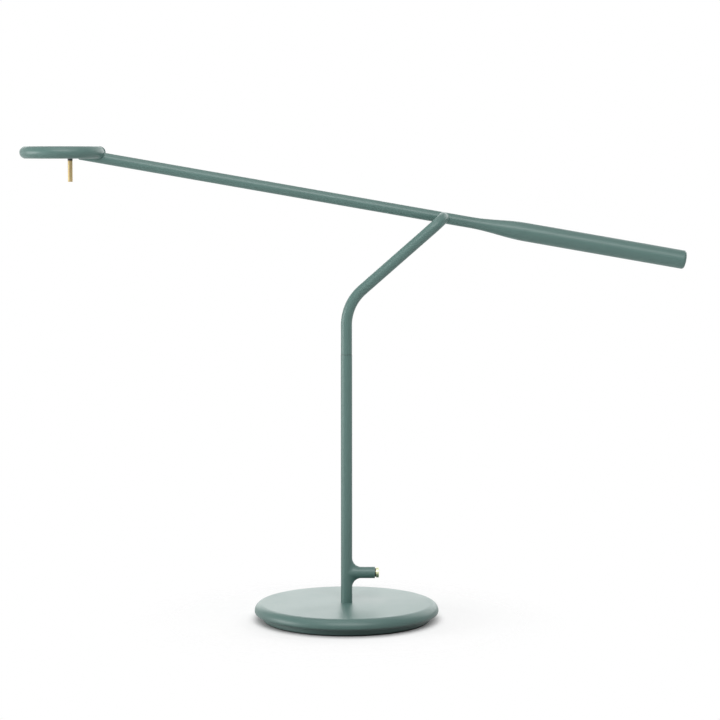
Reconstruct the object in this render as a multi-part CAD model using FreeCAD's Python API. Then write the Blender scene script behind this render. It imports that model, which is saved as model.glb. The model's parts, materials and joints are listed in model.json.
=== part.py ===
import FreeCAD, Part
import math
import os

# A counterweight balance desk lamp.  Millimetres, +Z up.  The origin is the middle of the
# underside, the stem stands on it, the arm lies in a plane behind the stem (+Y side),
# the lamp head is towards -X and the weighted handle towards +X.

# ---- overall stance -------------------------------------------------------
seam_height = 323.6        # floor to the swivel seam in the stem
bend_height = 384.9        # floor to the corner of the upper tube's bend
slope_angle = 41.27        # slope of the upper tube above the level
pivot_reach = 116.9        # stem to arm pivot, sideways
arm_setback = 28.0         # stem plane to arm plane
arm_tilt = 9.90            # fall of the arm towards the handle
head_reach = 457.55        # arm pivot to head hinge
handle_reach = 299.2       # arm pivot to the far end of the handle

# ---- base -----------------------------------------------------------------
base_radius = 111.8
base_height = 21.4
rim_upper_round = 9.8
rim_lower_round = 3.1
rim_wall = 15.3            # width of the rim around the hollow
pan_setback = 10.3         # rim to the recessed foot
pad_setback = 1.4          # foot to the edge of the pad under it
pad_thickness = 1.2
pan_plate = 2.0
pan_wall = 2.4
pan_edge_round = 1.0
top_wall = 3.0
screw_setback = 16.5       # wall of the hollow to the pan's screws
screw_count = 4
screw_first_angle = 45.0
boss_radius = 5.0
pilot_radius = 1.6
pan_screw_hole = 2.1
pan_screw_head_radius = 3.8
pan_screw_head = 1.1
pan_screw_grip = 6.0       # how far a pan screw reaches into its boss
pan_screw_sink = 0.4       # room around a sunk screw head
pilot_relief = 3.2         # drilled depth past a pan screw's tip
weight_clearance = 0.4     # between the ballast and the walls around it
nut_access = 1.6           # between the ballast and the stem's washer
board_clearance = 1.6      # between the ballast and the driver board
board_length = 62.0
board_width = 34.0
board_thickness = 1.6
board_setback = 19.5       # wall of the hollow to the driver board
post_height = 3.6
post_radius = 2.6
post_margin = 1.6          # post to the end of the board
board_screw_radius = 1.2
board_screw_head_radius = 2.4
board_screw_head = 1.2
transformer_size = 15.0
transformer_height = 7.0
capacitor_radius = 4.0
capacitor_height = 6.0
gland_bore = 1.7
gland_body = 2.3
gland_flange = 2.5
gland_flange_thickness = 1.2
gland_sleeve = 8.4         # length of the cord hole

# ---- lower stem and its branch --------------------------------------------
stem_radius = 6.9
stem_bore = 4.8
spigot_radius = 5.0
spigot_bore = 3.2
stem_floor = 6.0           # solid foot of the stem above the base's top
stem_nut_size = 8.5        # centre to corner
stem_nut_height = 5.0
stem_thread_relief = 1.5   # thread that shows below the nut
stem_washer_radius = 9.5
stem_washer_thickness = 1.2
branch_height = 57.9
branch_radius = 6.9
branch_reach = 34.4        # stem axis to the painted end of the branch
branch_fillet = 11.0
branch_bore = 5.5
branch_lead_bore = 3.2
switch_seat = 15.0         # stem axis to the back of the switch
lead_radius = 1.6
lead_clearance = 0.05
lead_end_gap = 9.2         # spindle's tail to the end of the stem's lead

# ---- push button ----------------------------------------------------------
button_radius = 6.1
button_thickness = 3.4
button_gap = 1.4
button_travel = 1.1
button_chamfer = 0.5
button_neck = 4.6
button_fit = 0.05          # running fit of the neck in its ring
button_ring_length = 9.0
ring_collar = 1.1          # black collar of the ring that stands out of the branch
ring_collar_radius = 5.2
cap_recess_clearance = 0.3 # button's recess around that collar
switch_length = 7.0
switch_wall = 0.1
plunger_radius = 1.4
plunger_length = 1.6
plunger_clearance = 0.3
plunger_well = 3.2

# ---- swivel in the stem ---------------------------------------------------
bush_flange = 0.4          # thickness of the bearing's flange, which shows as the seam
bush_flange_recess = 0.3
bush_length = 40.0
press_clearance = 0.02
spindle_radius = 4.0
spindle_fit = 0.05
spindle_bore = 2.1
spindle_up = 34.0          # spindle length above the seam
spindle_tail = 6.0         # spindle length below the bearing
clip_thickness = 0.8
clip_groove_radius = 3.3
clip_radius = 4.6
clip_gap = 0.3
clip_opening = 4.0
stop_pin_radius = 0.9
stop_pin_gap = 0.2
stop_window_height = 3.0
stop_tab_angle = 24.0
seam_gap = 0.1
grub_radius = 1.5
grub_height = 18.0         # seam to the grub screw that locks the spindle
grub_bite = 0.75           # how far the grub screw sits in the spindle
grub_recess = 0.3

# ---- upper tube -----------------------------------------------------------
upper_radius = 6.75
upper_bore = 4.8
main_bend_radius = 56.0
elbow_radius = 20.0
insert_turn = 24.0         # degrees of the elbow that its threaded insert fills

# ---- arm pivot ------------------------------------------------------------
pivot_gap = 0.7            # elbow's end to the arm's skin, filled by a friction washer
axle_radius = 3.0
axle_fit = 0.05
axle_bore = 1.1
axle_grip = 7.0            # thread engaged in the elbow's insert
washer_radius = 5.6
washer_relief = 0.05       # running gap of a friction washer
pivot_bush_radius = 4.5
cap_nut_radius = 5.8
cap_nut_height = 3.6
cap_nut_dome = 1.2
cap_nut_thread = 2.4

# ---- arm ------------------------------------------------------------------
arm_radius = 6.8
arm_bore = 4.9
arm_tip_gap = 9.5          # head hinge to the tip of the tube
arm_tip_chamfer = 2.6
arm_nose_wall = 2.0        # closed end of the tube around the tongue
taper_start = 32.0
taper_end = 104.0
taper_ease = 0.40          # share of the taper that each of its ends takes to turn
handle_radius = 11.35
handle_bore = 9.95
block_length = 26.0
cap_land = 0.8             # straight rim of the end cap
cap_round = 3.4
cap_dome = 1.0
cap_spigot = 6.0
weight_radius = 9.75
weight_gap = 0.8           # end of the taper to the counterweight
retainer_thickness = 3.0
plug_length = 22.0
plug_clearance = 0.05
nose_clearance = 0.1       # room for the tongue and its knuckle in the tube's nose

# ---- head hinge -----------------------------------------------------------
tongue_thickness = 5.8
tongue_half_height = 2.8
knuckle_radius = 3.2
hinge_pin_radius = 2.0
hinge_fit = 0.05
hinge_washer = 0.45
cheek_thickness = 2.0
yoke_reach = 4.2           # hinge axis to the open end of the yoke
yoke_back = 6.0            # hinge axis to the closed end of the yoke
yoke_plate = 1.5
yoke_flange = 14.0         # hinge axis to the end of the yoke's flange
yoke_flange_half_width = 8.5
yoke_opening = 0.5         # how far the yoke's open top runs past the hinge axis
yoke_screw_radius = 1.2
yoke_screw_head_radius = 2.4
yoke_screw_head = 1.2
yoke_screw_spread = 5.0
yoke_screw_setback = 10.5
yoke_screw_grip = 1.2

# ---- lamp head ------------------------------------------------------------
head_radius = 51.7
head_thickness = 14.8
head_offset = 9.0          # hinge axis to the middle of the disc
head_top_wall = 1.8
head_mouth = 43.4
head_ledge = 1.2           # step that the diffuser sits against
diffuser_thickness = 1.6
diffuser_recess = 0.2
notch_width = 14.4
notch_start = 6.3          # hinge axis to the blind end of the arm's notch
top_slot_start = 1.9       # hinge axis to the blind end of the tongue's slot in the top
channel_wall = 1.8
channel_end_wall = 1.6
led_board_thickness = 1.6
led_board_inner = 22.0
led_circle = 31.0
led_size = 2.8
led_height = 0.7
led_count = 18
led_clear_angle = 26.0     # half angle kept free of diodes at the notch
collar_radius = 3.0
collar_length = 2.7
collar_land = 0.4          # yoke around the collar
grip_radius = 2.85
grip_length = 25.5
grip_chamfer = 0.35
grip_stud_radius = 1.5

V = FreeCAD.Vector
X = V(1, 0, 0)
Y = V(0, 1, 0)
Z = V(0, 0, 1)
ORIGIN = V(0, 0, 0)


# ---- shared shapes --------------------------------------------------------
def rod(radius, start, axis, length):
    """A plain cylinder from start along axis."""
    return Part.makeCylinder(radius, length, start, axis)


def sleeve(outer, inner, start, axis, length):
    """A cylinder with a through bore."""
    return rod(outer, start, axis, length).cut(rod(inner, start, axis, length))


def block(x_range, y_range, z_range):
    """A box between pairs of limits."""
    low = V(x_range[0], y_range[0], z_range[0])
    return Part.makeBox(x_range[1] - x_range[0], y_range[1] - y_range[0], z_range[1] - z_range[0], low)


def lathe(edges, centre, axis):
    """Turns a closed outline of edges about an axis."""
    face = Part.Face(Part.Wire(Part.__sortEdges__(edges)))
    return face.revolve(centre, axis, 360)


def line(start, end):
    return Part.makeLine(start, end)


def quarter(start, end, centre):
    """A quarter circle from start to end about centre."""
    middle = (start - centre) + (end - centre)
    middle.normalize()
    return Part.Arc(start, centre + middle * (start - centre).Length, end).toShape()


def crown(rim, tip, axis):
    """Arc from a rim to a tip on an axis, square to the axis at the tip."""
    rise = (tip - rim).dot(axis)
    spread = (rim - tip + axis * rise).Length
    radius = (spread ** 2 + rise ** 2) / (2 * rise)
    centre = tip - axis * radius
    middle = (rim - centre) + (tip - centre)
    middle.normalize()
    return Part.Arc(rim, centre + middle * radius, tip).toShape()


def chamfered_rod(radius, start, axis, length, chamfer):
    """A cylinder whose far end is chamfered."""
    body = rod(radius, start, axis, length)
    far = [e for e in body.Edges if (e.CenterOfMass - (start + axis * length)).Length < length / 100]
    return body.makeChamfer(chamfer, far)


def bent_rod(corners, bend_radii, radius):
    """Straight round runs joined by bends that are tangent to them."""
    pieces = []
    start = corners[0]
    for i in range(1, len(corners) - 1):
        incoming = (corners[i] - corners[i - 1]).normalize()
        outgoing = (corners[i + 1] - corners[i]).normalize()
        turn = math.acos(incoming.dot(outgoing))
        setback = bend_radii[i - 1] * math.tan(turn / 2)
        bend_start = corners[i] - incoming * setback
        hinge_axis = incoming.cross(outgoing).normalize()
        centre = bend_start + hinge_axis.cross(incoming) * bend_radii[i - 1]
        pieces.append(rod(radius, start, incoming, (bend_start - start).Length))
        section = Part.Face(Part.Wire(Part.makeCircle(radius, bend_start, incoming)))
        pieces.append(section.revolve(centre, hinge_axis, math.degrees(turn)))
        start = corners[i] + outgoing * setback
    direction = (corners[-1] - start).normalize()
    pieces.append(rod(radius, start, direction, (corners[-1] - start).Length))
    return pieces[0].multiFuse(pieces[1:]).removeSplitter()


def around(centre, axis, count, shape, first_angle=0.0):
    """Copies of a shape spread evenly about an axis."""
    copies = []
    for i in range(count):
        copy = shape.copy()
        copy.rotate(centre, axis, first_angle + i * 360.0 / count)
        copies.append(copy)
    return copies


# ---- places worked out from the driving sizes -----------------------------
cavity_radius = base_radius - rim_wall
pan_radius = base_radius - pan_setback
screw_circle = cavity_radius - screw_setback
board_centre_y = cavity_radius - board_setback - board_width / 2
pan_top = pad_thickness + pan_plate
lip_height = base_height - rim_upper_round - rim_lower_round
gland_height = (pan_top + lip_height) / 2
ceiling = base_height - top_wall
stem_thread_end = ceiling - stem_washer_thickness - stem_nut_height - stem_thread_relief
lower_stem_top = seam_height - bush_flange / 2
bush_bottom = lower_stem_top - bush_length
upper_start = seam_height + bush_flange / 2 + seam_gap
pivot_height = bend_height + pivot_reach * math.tan(math.radians(slope_angle))
pivot = V(pivot_reach, arm_setback, pivot_height)
elbow_end = arm_setback - arm_radius - pivot_gap
cap_length = cap_land + cap_round + cap_dome
retainer_start = handle_reach - cap_length - cap_spigot - retainer_thickness
arm_placement = FreeCAD.Placement(pivot, FreeCAD.Rotation(Y, arm_tilt))
hinge = arm_placement.multVec(V(-head_reach, 0, 0))
head_placement = FreeCAD.Placement(hinge, FreeCAD.Rotation())
disc_centre = V(-head_offset, 0, 0)
head_bottom = -head_thickness / 2
head_ceiling = head_thickness / 2 - head_top_wall
diffuser_bottom = head_bottom + diffuser_recess
diffuser_top = diffuser_bottom + diffuser_thickness
slot_half = tongue_thickness / 2 + hinge_washer + hinge_fit
yoke_half = slot_half + cheek_thickness


# ---- base -----------------------------------------------------------------
def around_screws(shape):
    """Copies of a shape at each of the pan's screws."""
    return around(ORIGIN, Z, screw_count, shape, screw_first_angle)


def base_disc():
    """Cast disc with a rounded rim, open below, with bosses for the pan's screws."""
    rim_centre_upper = V(base_radius - rim_upper_round, 0, base_height - rim_upper_round)
    rim_side = V(base_radius, 0, base_height - rim_upper_round)
    rim_centre_lower = V(base_radius - rim_lower_round, 0, rim_side.z)
    top_edge = V(rim_centre_upper.x, 0, base_height)
    lip_edge = V(rim_centre_lower.x, 0, lip_height)
    outline = [
        line(V(0, 0, base_height), top_edge),
        quarter(top_edge, rim_side, rim_centre_upper),
        quarter(rim_side, lip_edge, rim_centre_lower),
        line(lip_edge, V(cavity_radius, 0, lip_height)),
        line(V(cavity_radius, 0, lip_height), V(cavity_radius, 0, ceiling)),
        line(V(cavity_radius, 0, ceiling), V(0, 0, ceiling)),
        line(V(0, 0, ceiling), V(0, 0, base_height)),
    ]
    disc = lathe(outline, ORIGIN, Z)
    boss = rod(boss_radius, V(screw_circle, 0, pan_top), Z, ceiling - pan_top)
    pilot = rod(pilot_radius, V(screw_circle, 0, pan_top), Z, pan_screw_grip + pilot_relief)
    bosses = around_screws(boss)
    pilots = around_screws(pilot)
    stem_hole = rod(spigot_radius, V(0, 0, ceiling), Z, top_wall)
    return disc.multiFuse(bosses).cut(pilots + [stem_hole])


def base_pan():
    """Recessed foot: a shallow pan that closes the base from below."""
    dish = rod(pan_radius, V(0, 0, pad_thickness), Z, lip_height - pad_thickness)
    lower = [e for e in dish.Edges if e.BoundBox.ZMax < pan_top]
    dish = dish.makeFillet(pan_edge_round, lower)
    hollow = rod(pan_radius - pan_wall, V(0, 0, pan_top), Z, lip_height - pan_top)
    dish = dish.cut(hollow)
    post = rod(post_radius, V(0, 0, pan_top), Z, post_height)
    posts = [post.translated(place) for place in board_post_places()]
    hole = rod(pan_screw_hole, V(screw_circle, 0, pad_thickness), Z, pan_plate)
    sink_radius = pan_screw_head_radius + pan_screw_sink
    sink = rod(sink_radius, V(screw_circle, 0, pad_thickness), Z, pan_screw_head)
    holes = around_screws(hole.fuse(sink))
    cord_hole = rod(gland_body, V(0, 0, gland_height), Y, base_radius)
    thread = rod(board_screw_radius, V(0, 0, pan_top), Z, post_height)
    threads = [thread.translated(place) for place in board_post_places()]
    return dish.multiFuse(posts).cut(holes + threads + [cord_hole])


def board_post_places():
    """Places of the two posts that carry the driver board."""
    reach = board_length / 2 - post_radius - post_margin
    return [V(-reach, board_centre_y, 0), V(reach, board_centre_y, 0)]


def base_weight():
    """Steel ballast between the disc and the pan, cut away for the board, nut and bosses."""
    outer = pan_radius - pan_wall - weight_clearance
    outer = min(outer, cavity_radius - weight_clearance)
    ballast = rod(outer, V(0, 0, pan_top), Z, ceiling - pan_top)
    nut_room = rod(stem_washer_radius + nut_access, V(0, 0, pan_top), Z, ceiling - pan_top)
    half = board_length / 2 + board_clearance
    board_room = block((-half, half), (0, base_radius), (pan_top, ceiling))
    boss_room = rod(boss_radius + weight_clearance, V(screw_circle, 0, pan_top), Z, ceiling - pan_top)
    return ballast.cut(around_screws(boss_room) + [nut_room, board_room])


def foot_pad():
    """Soft disc that the lamp rests on."""
    return rod(pan_radius - pad_setback, ORIGIN, Z, pad_thickness)


def pan_screws():
    """Screws that hold the pan to the disc's bosses."""
    head = rod(pan_screw_head_radius, V(screw_circle, 0, pad_thickness), Z, pan_screw_head)
    shank_length = pan_top + pan_screw_grip - pad_thickness
    shank = rod(pilot_radius - press_clearance, V(screw_circle, 0, pad_thickness), Z, shank_length)
    return Part.makeCompound(around_screws(head.fuse(shank)))


def driver_board():
    """Circuit board on the pan's posts, with its transformer, capacitor and terminal block."""
    level = pan_top + post_height
    half = board_length / 2
    low_y = board_centre_y - board_width / 2
    board = block((-half, half), (low_y, low_y + board_width), (level, level + board_thickness))
    top = level + board_thickness
    core = transformer_size / 2
    transformer = block((-core, core), (board_centre_y - core, board_centre_y + core),
                        (top, top + transformer_height))
    capacitor_place = V(half / 2, board_centre_y - board_width / 4, top)
    capacitor = rod(capacitor_radius, capacitor_place, Z, capacitor_height)
    terminal = block((-half / 2 - capacitor_radius, -half / 2 + capacitor_radius),
                     (low_y + board_width - 2 * capacitor_radius, low_y + board_width),
                     (top, top + capacitor_height))
    holes = [rod(board_screw_radius, place + V(0, 0, level), Z, board_thickness)
             for place in board_post_places()]
    return board.multiFuse([transformer, capacitor, terminal]).cut(holes)


def board_screws():
    """Screws that hold the driver board to its posts."""
    top = pan_top + post_height + board_thickness
    screws = []
    for place in board_post_places():
        head = rod(board_screw_head_radius, place + V(0, 0, top), Z, board_screw_head)
        reach = post_height + board_thickness
        shank = rod(board_screw_radius - press_clearance, place + V(0, 0, top - reach), Z, reach)
        screws.append(head.fuse(shank))
    return Part.makeCompound(screws)


def cord_gland():
    """Rubber bush with two flanges in the pan's rear wall."""
    inner_face = math.sqrt((pan_radius - pan_wall) ** 2 - gland_flange ** 2)
    outer_end = pan_radius + gland_flange_thickness
    sleeve_start = outer_end - gland_sleeve
    inner_start = inner_face - gland_flange_thickness
    body = rod(gland_body, V(0, sleeve_start, gland_height), Y, gland_sleeve)
    outer = rod(gland_flange, V(0, pan_radius, gland_height), Y, gland_flange_thickness)
    inner = rod(gland_flange, V(0, inner_start, gland_height), Y, gland_flange_thickness)
    bore = rod(gland_bore, V(0, sleeve_start, gland_height), Y, gland_sleeve)
    return body.multiFuse([outer, inner]).cut(bore)


def stem_washer():
    """Washer under the base's top wall."""
    return sleeve(stem_washer_radius, spigot_radius, V(0, 0, ceiling - stem_washer_thickness), Z,
                  stem_washer_thickness)


def stem_nut():
    """Hexagon nut that pulls the stem down onto the base."""
    level = ceiling - stem_washer_thickness - stem_nut_height
    turns = [FreeCAD.Rotation(Z, 60 * i) for i in range(7)]
    corners = [turn.multVec(V(stem_nut_size, 0, level)) for turn in turns]
    prism = Part.Face(Part.makePolygon(corners)).extrude(Z * stem_nut_height)
    return prism.cut(rod(spigot_radius, V(0, 0, level), Z, stem_nut_height))


# ---- lower stem -----------------------------------------------------------
def lower_stem():
    """Stem with a smoothly swept branch, a threaded spigot below and a bore for the leads."""
    height = lower_stem_top - base_height
    post = rod(stem_radius, V(0, 0, base_height), Z, height)
    branch = rod(branch_radius, V(0, 0, branch_height), X, branch_reach)
    tee = post.fuse(branch)
    reach = stem_radius + branch_radius
    joint = [e for e in tee.Edges
             if e.BoundBox.XMin > 0 and e.BoundBox.XMax < reach
             and e.BoundBox.ZMin > branch_height - reach and e.BoundBox.ZMax < branch_height + reach]
    tee = tee.makeFillet(branch_fillet, joint)
    spigot = rod(spigot_radius, V(0, 0, stem_thread_end), Z, base_height - stem_thread_end)
    bore_start = base_height + stem_floor
    bore = rod(stem_bore, V(0, 0, bore_start), Z, lower_stem_top - bore_start)
    lead_bore = rod(spigot_bore, V(0, 0, stem_thread_end), Z, bore_start - stem_thread_end)
    branch_lead = rod(branch_lead_bore, V(0, 0, branch_height), X, switch_seat)
    switch_bore = rod(branch_bore, V(switch_seat, 0, branch_height), X, branch_reach - switch_seat)
    return tee.fuse(spigot).cut([bore, lead_bore, branch_lead, switch_bore])


def stem_lead():
    """Twin lead inside the stem, lying along the wall of the bore."""
    offset = V(-(spigot_bore - lead_radius - lead_clearance), 0, 0)
    start = offset + V(0, 0, pan_top + post_height)
    end = bush_bottom - spindle_tail - lead_end_gap
    return rod(lead_radius, start, Z, end - start.z)


def button_ring():
    """Black ring in the mouth of the branch that guides the button, with a collar outside."""
    start = V(branch_reach - button_ring_length, 0, branch_height)
    ring = rod(branch_bore - press_clearance, start, X, button_ring_length)
    collar = rod(ring_collar_radius, V(branch_reach, 0, branch_height), X, ring_collar)
    bore = rod(button_neck + button_fit, start, X, button_ring_length + ring_collar)
    return ring.fuse(collar).cut(bore)


def push_switch():
    """Small switch at the bottom of the branch's bore."""
    start = V(switch_seat, 0, branch_height)
    body = rod(branch_bore - switch_wall, start, X, switch_length)
    well_start = V(switch_seat + switch_length - plunger_well, 0, branch_height)
    return body.cut(rod(plunger_radius + plunger_clearance, well_start, X, plunger_well))


def button():
    """Brass push button: a cap over the ring's collar, a neck and a plunger on the switch."""
    face = V(branch_reach + button_gap, 0, branch_height)
    cap = chamfered_rod(button_radius, face, X, button_thickness, button_chamfer)
    recess_depth = ring_collar + button_travel - button_gap + cap_recess_clearance
    recess_radius = ring_collar_radius + cap_recess_clearance
    cap = cap.cut(sleeve(recess_radius, button_neck, face, X, recess_depth))
    neck_start = switch_seat + switch_length + button_travel + plunger_clearance
    neck = rod(button_neck, V(neck_start, 0, branch_height), X, face.x - neck_start)
    plunger = rod(plunger_radius, V(neck_start - plunger_length, 0, branch_height), X, plunger_length)
    return cap.multiFuse([neck, plunger])


# ---- swivel ---------------------------------------------------------------
def swivel_bush():
    """Flanged bearing in the top of the lower stem, with a window that limits the turn."""
    inner = spindle_radius + spindle_fit
    flange = sleeve(stem_radius - bush_flange_recess, inner, V(0, 0, lower_stem_top), Z, bush_flange)
    barrel = sleeve(stem_bore - press_clearance, inner, V(0, 0, bush_bottom), Z, bush_length)
    window = rod(stem_bore, V(0, 0, bush_bottom), Z, stop_window_height)
    tab_room = Part.makeCylinder(stem_radius, stop_window_height, V(0, 0, bush_bottom), Z, stop_tab_angle)
    tab_room.rotate(ORIGIN, Z, -stop_tab_angle / 2)
    return flange.fuse(barrel).cut(window.cut(tab_room))


def swivel_spindle():
    """Hollow spindle with its stop pin, turning in the bearing and locked in the upper tube."""
    bottom = bush_bottom - spindle_tail
    turned = rod(spindle_radius, V(0, 0, bottom), Z, upper_start - bottom)
    shank = rod(upper_bore - press_clearance, V(0, 0, upper_start), Z, spindle_up)
    pin_height = bush_bottom + stop_window_height / 2
    stop_pin = rod(stop_pin_radius, V(0, 0, pin_height), X * -1, stem_bore - stop_pin_gap)
    groove_start = V(0, 0, bush_bottom - clip_gap - clip_thickness)
    groove = sleeve(stem_bore, clip_groove_radius, groove_start, Z, clip_thickness)
    lead_bore = rod(spindle_bore, V(0, 0, bottom), Z, upper_start + spindle_up - bottom)
    dimple = rod(grub_radius, V(0, upper_bore - grub_bite, seam_height + grub_height), Y, upper_bore)
    return turned.multiFuse([shank, stop_pin]).cut([groove, lead_bore, dimple])


def swivel_clip():
    """Open spring clip in the spindle's groove, below the bearing."""
    level = bush_bottom - clip_gap - clip_thickness
    ring = sleeve(clip_radius, clip_groove_radius, V(0, 0, level), Z, clip_thickness)
    mouth = block((-clip_radius, 0), (-clip_opening / 2, clip_opening / 2), (level, level + clip_thickness))
    return ring.cut(mouth)


def spindle_grub():
    """Grub screw through the back of the upper tube that locks the spindle."""
    start = upper_bore - grub_bite
    length = upper_radius - start - grub_recess
    return rod(grub_radius - press_clearance, V(0, start, seam_height + grub_height), Y, length)


# ---- upper tube and pivot -------------------------------------------------
def upper_path():
    """Corners of the upper tube: up the stem, along the slope, then back to the arm."""
    return [V(0, 0, upper_start), V(0, 0, bend_height), V(pivot_reach, 0, pivot_height),
            V(pivot_reach, elbow_end, pivot_height)]


def upper_stem():
    """Bent tube whose elbow turns back to carry the arm."""
    bends = [main_bend_radius, elbow_radius]
    outside = bent_rod(upper_path(), bends, upper_radius)
    inside = bent_rod(upper_path(), bends, upper_bore)
    grub_hole = rod(grub_radius, V(0, 0, seam_height + grub_height), Y, 2 * upper_radius)
    return outside.cut([inside, grub_hole])


def elbow_insert():
    """Threaded insert that fills the end of the elbow."""
    corners = upper_path()
    fill = bent_rod(corners, [main_bend_radius, elbow_radius], upper_bore - press_clearance)
    start = elbow_end - elbow_radius * math.sin(math.radians(insert_turn))
    keep = block((pivot_reach - elbow_radius, pivot_reach + elbow_radius), (start, elbow_end),
                 (pivot_height - elbow_radius, pivot_height + elbow_radius))
    thread = rod(axle_radius, V(pivot_reach, elbow_end - axle_grip, pivot_height), Y, axle_grip)
    lead_hole = rod(axle_bore, V(pivot_reach, 0, pivot_height), Y, elbow_end)
    return fill.common(keep).cut([thread, lead_hole])


def pivot_axle():
    """Hollow axle screwed into the elbow; the arm turns on it."""
    start = V(pivot_reach, elbow_end - axle_grip, pivot_height)
    end = arm_setback + arm_radius + pivot_gap + cap_nut_thread
    shaft = rod(axle_radius - press_clearance, start, Y, end - start.y)
    return shaft.cut(rod(axle_bore, start, Y, arm_setback - start.y))


def friction_washers():
    """Washers on the axle, in front of the arm and behind it."""
    thickness = pivot_gap - washer_relief
    front = sleeve(washer_radius, axle_radius, V(pivot_reach, elbow_end, pivot_height), Y, thickness)
    rear_start = V(pivot_reach, arm_setback + arm_radius + washer_relief, pivot_height)
    rear = sleeve(washer_radius, axle_radius, rear_start, Y, thickness)
    return Part.makeCompound([front, rear])


def cap_nut():
    """Low domed nut on the back end of the axle."""
    start = arm_setback + arm_radius + pivot_gap
    side = start + cap_nut_height - cap_nut_dome
    top = start + cap_nut_height
    centre = V(pivot_reach, 0, pivot_height)
    edges = [
        line(centre + Y * start, centre + Y * start + X * cap_nut_radius),
        line(centre + Y * start + X * cap_nut_radius, centre + Y * side + X * cap_nut_radius),
        crown(centre + Y * side + X * cap_nut_radius, centre + Y * top, Y),
        line(centre + Y * top, centre + Y * start),
    ]
    dome = lathe(edges, centre, Y)
    return dome.cut(rod(axle_radius, centre + Y * start, Y, cap_nut_thread))


# ---- arm, in its own frame: origin at the pivot, +X towards the handle -----
def taper_curve(start_radius, end_radius):
    """Soft S-shaped profile from the slim tube to the handle."""
    span = taper_end - taper_start
    curve = Part.BezierCurve()
    curve.setPoles([V(taper_start, 0, start_radius), V(taper_start + span * taper_ease, 0, start_radius),
                    V(taper_end - span * taper_ease, 0, end_radius), V(taper_end, 0, end_radius)])
    return curve.toShape()


def arm_tube():
    """One skin from the head to the handle: slim tube, soft taper, thick handle."""
    tip = -head_reach + arm_tip_gap
    end = handle_reach - cap_length
    shoulder = V(tip, 0, arm_radius - arm_tip_chamfer)
    tip_side = V(tip + arm_tip_chamfer, 0, arm_radius)
    edges = [
        line(V(tip, 0, 0), shoulder),
        line(shoulder, tip_side),
        line(tip_side, V(taper_start, 0, arm_radius)),
        taper_curve(arm_radius, handle_radius),
        line(V(taper_end, 0, handle_radius), V(end, 0, handle_radius)),
        line(V(end, 0, handle_radius), V(end, 0, 0)),
        line(V(end, 0, 0), V(tip, 0, 0)),
    ]
    skin = lathe(edges, ORIGIN, X)
    bore = rod(arm_bore, V(tip + arm_nose_wall, 0, 0), X, taper_end - tip - arm_nose_wall)
    slot_width = tongue_thickness / 2 + nose_clearance
    slot_height = knuckle_radius + nose_clearance
    slot = block((tip, tip + 2 * arm_nose_wall), (-slot_width, slot_width), (-slot_height, slot_height))
    room = rod(handle_bore, V(taper_end, 0, 0), X, end - taper_end)
    cross = rod(pivot_bush_radius, V(0, -2 * arm_radius, 0), Y, 4 * arm_radius)
    return skin.cut([bore, slot, room, cross])


def pivot_block():
    """Solid block inside the tube at the pivot, grooved for the lead."""
    body = rod(arm_bore - press_clearance, V(-block_length / 2, 0, 0), X, block_length)
    return body.cut(rod(pivot_bush_radius, V(0, -arm_bore, 0), Y, 2 * arm_bore))


def pivot_bush():
    """Bearing across the arm, flush with the skin at both ends."""
    return sleeve(pivot_bush_radius - press_clearance, axle_radius + axle_fit, V(0, -arm_radius, 0), Y,
                  2 * arm_radius)


def counterweight():
    """Steel slug that fills the handle."""
    start = taper_end + weight_gap
    return rod(weight_radius, V(start, 0, 0), X, retainer_start - start)


def weight_retainer():
    """Rubber disc between the slug and the end cap."""
    return rod(handle_bore - press_clearance, V(retainer_start, 0, 0), X, retainer_thickness)


def end_cap():
    """Domed cap with a rounded shoulder and a spigot into the handle."""
    start = handle_reach - cap_length
    face = handle_reach - cap_dome
    shoulder = V(face - cap_round, 0, handle_radius)
    face_edge = V(face, 0, handle_radius - cap_round)
    edges = [
        line(V(start, 0, 0), V(start, 0, handle_radius)),
        line(V(start, 0, handle_radius), shoulder),
        quarter(shoulder, face_edge, V(shoulder.x, 0, face_edge.z)),
        crown(face_edge, V(handle_reach, 0, 0), X),
        line(V(handle_reach, 0, 0), V(start, 0, 0)),
    ]
    cap = lathe(edges, ORIGIN, X)
    return cap.fuse(rod(handle_bore - press_clearance, V(start - cap_spigot, 0, 0), X, cap_spigot))


def arm_tongue():
    """Flat tongue that leaves the tip of the tube and takes the head's hinge pin."""
    plug_start = -head_reach + arm_tip_gap + arm_nose_wall
    plug = rod(arm_bore - plug_clearance, V(plug_start, 0, 0), X, plug_length)
    half = tongue_thickness / 2
    blade = block((-head_reach, plug_start + plug_length / 2), (-half, half),
                  (-tongue_half_height, tongue_half_height))
    knuckle = rod(knuckle_radius, V(-head_reach, -half, 0), Y, tongue_thickness)
    eye = rod(hinge_pin_radius + hinge_fit, V(-head_reach, -half, 0), Y, tongue_thickness)
    return plug.multiFuse([blade, knuckle]).cut(eye)


def arm_lead():
    """Twin lead lying along the bottom of the arm's bore."""
    start = -head_reach + arm_tip_gap + arm_nose_wall + plug_length
    level = -(arm_bore - lead_radius - lead_clearance)
    return rod(lead_radius, V(start, 0, level), X, -block_length / 2 - start)


# ---- head, in its own frame: origin at the hinge, disc level --------------
def notch_block(half_width, start, low, high):
    """Space between two limits that runs out through the rim towards the arm."""
    return block((start, head_radius), (-half_width, half_width), (low, high))


def arm_notch():
    """Opening for the arm: a wide notch from the rim and a narrow one for the tongue."""
    wide = notch_block(notch_width / 2, notch_start, -head_thickness, head_thickness)
    narrow = notch_block(slot_half, 0, -head_thickness, head_ceiling)
    top_slot = notch_block(slot_half, top_slot_start, 0, head_thickness)
    return wide.multiFuse([narrow, top_slot])


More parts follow.
